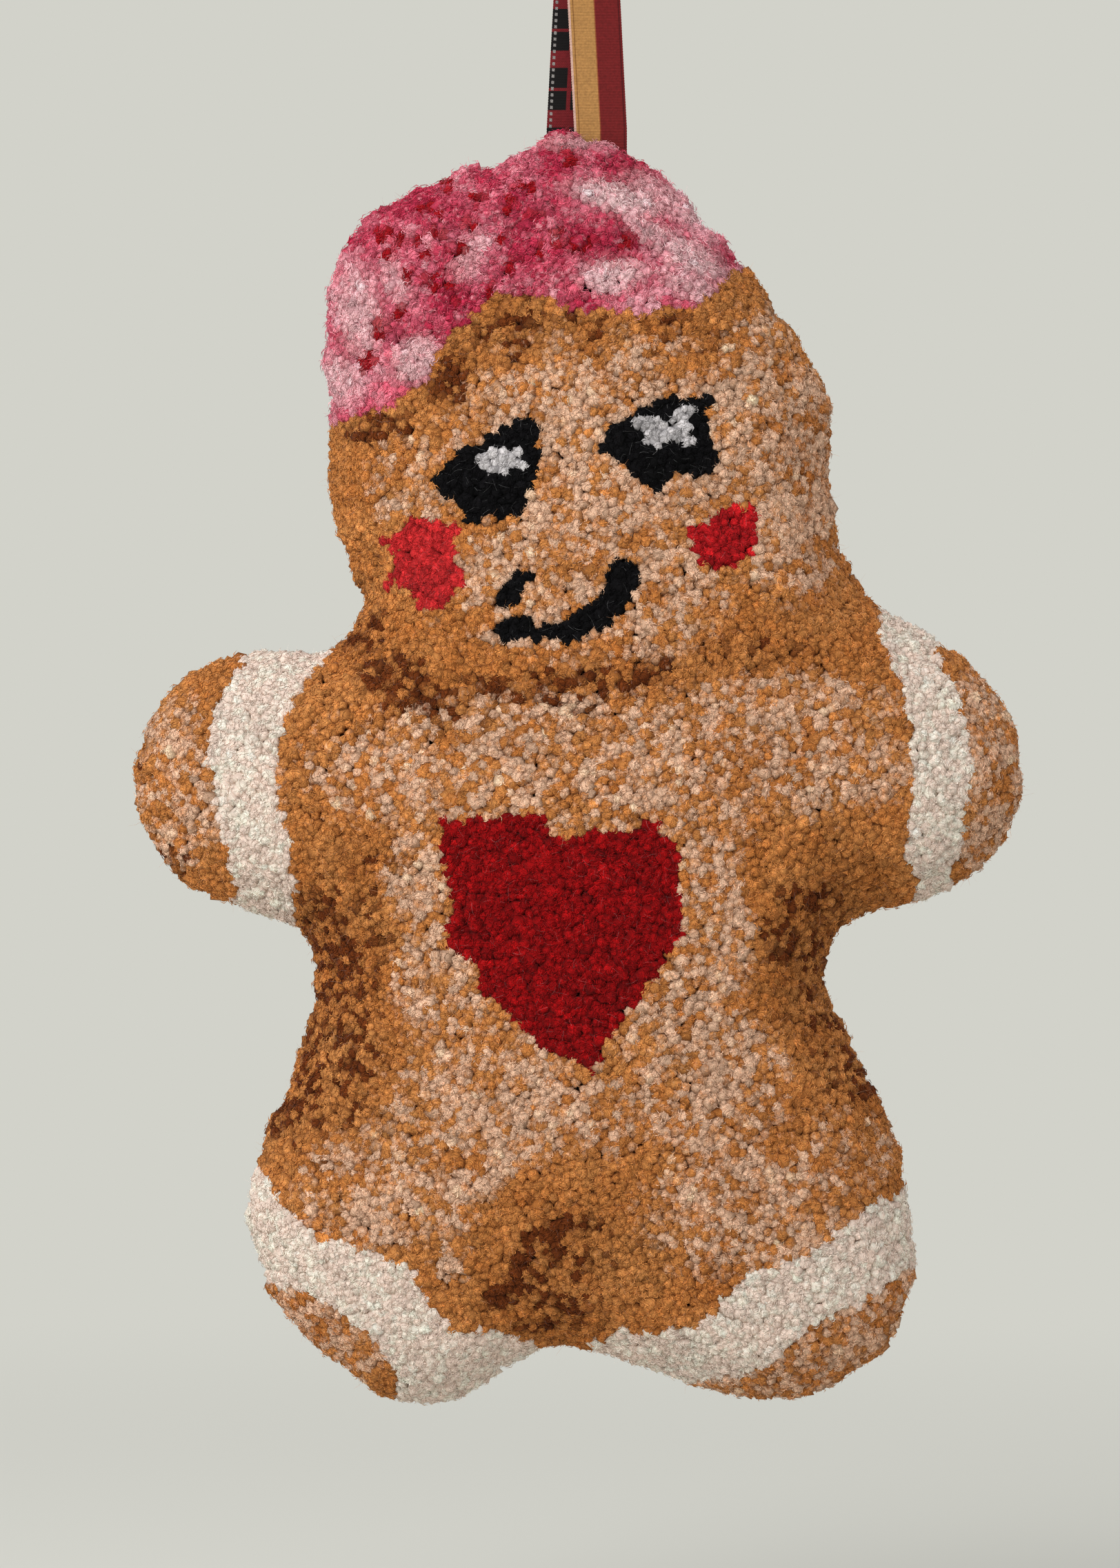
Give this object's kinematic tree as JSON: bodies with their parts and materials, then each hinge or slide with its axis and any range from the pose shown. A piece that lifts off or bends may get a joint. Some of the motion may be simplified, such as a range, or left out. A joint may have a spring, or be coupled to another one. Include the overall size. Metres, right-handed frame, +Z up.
{
  "type": "hanging gingerbread ornament",
  "caption": "Stuffed gingerbread figure with a cut-pile wool front, icing cap, smiling face and heart, hung by a ribbon loop that twists and folds.",
  "frame": {"origin": "underside of the ribbon loop's crest, where a hook or nail carries the ornament", "axes": "+Z up, -Y out of the pile side towards the viewer, +X to the viewer's right"},
  "size_m": [0.1678, 0.0417, 0.2932],
  "materials": {
    "striped_ribbon": "ribbed grosgrain, gold and burgundy lengthwise stripes",
    "plaid_ribbon": "woven black and red plaid, slight sheen",
    "ginger_wool": "cut pile, flecked with cream and brown",
    "pink_wool": "cut pile, mottled pinks with red flecks",
    "white_wool": "cut pile",
    "black_wool": "cut pile",
    "grey_wool": "cut pile",
    "coral_wool": "cut pile",
    "red_wool": "cut pile",
    "canvas": "plain weave, latex backed",
    "felt": "brown wool felt",
    "stuffing": "loose polyester fibre",
    "thread": "cotton sewing thread"
  },
  "bodies": {
    "hanger_loop": {"striped_ribbon_loop": "striped_ribbon", "plaid_ribbon_loop": "plaid_ribbon"},
    "ribbon_tails": {"front_tail_striped": "striped_ribbon", "front_tail_plaid": "plaid_ribbon", "back_tail_striped": "striped_ribbon", "back_tail_plaid": "plaid_ribbon"},
    "figure": {"front_tail_end": "striped_ribbon", "back_tail_end": "striped_ribbon", "face_pile": "ginger_wool", "torso_pile": "ginger_wool", "left_hand_pile": "ginger_wool", "right_hand_pile": "ginger_wool", "left_foot_pile": "ginger_wool", "right_foot_pile": "ginger_wool", "icing_pile": "pink_wool", "left_arm_band_pile": "white_wool", "right_arm_band_pile": "white_wool", "left_foot_band_pile": "white_wool", "right_foot_band_pile": "white_wool", "left_eye_pile": "black_wool", "right_eye_pile": "black_wool", "mouth_pile": "black_wool", "mouth_corner_pile": "black_wool", "left_glint_pile": "grey_wool", "right_glint_pile": "grey_wool", "left_cheek_pile": "coral_wool", "right_cheek_pile": "coral_wool", "heart_pile": "red_wool", "tufting_canvas": "canvas", "felt_back": "felt", "head_stuffing": "stuffing", "left_arm_stuffing": "stuffing", "right_arm_stuffing": "stuffing", "left_leg_stuffing": "stuffing", "right_leg_stuffing": "stuffing", "body_stuffing": "stuffing", "ribbon_tack_stitch": "thread", "hand_seam_right": "thread", "machine_seam": "thread", "hand_seam_left": "thread"}
  },
  "joints": [
    {"name": "ribbon_twist", "type": "hinge", "parent": "hanger_loop", "child": "ribbon_tails", "pos_m": [0, 0, -0.024], "axis": [0, 0, 1], "range_deg": [-90, 90], "stiffness_Nm_per_rad": 0.0003},
    {"name": "figure_swing", "type": "hinge", "parent": "ribbon_tails", "child": "figure", "pos_m": [0, 0, -0.05], "axis": [1, 0, 0], "range_deg": [-90, 90]}
  ]
}
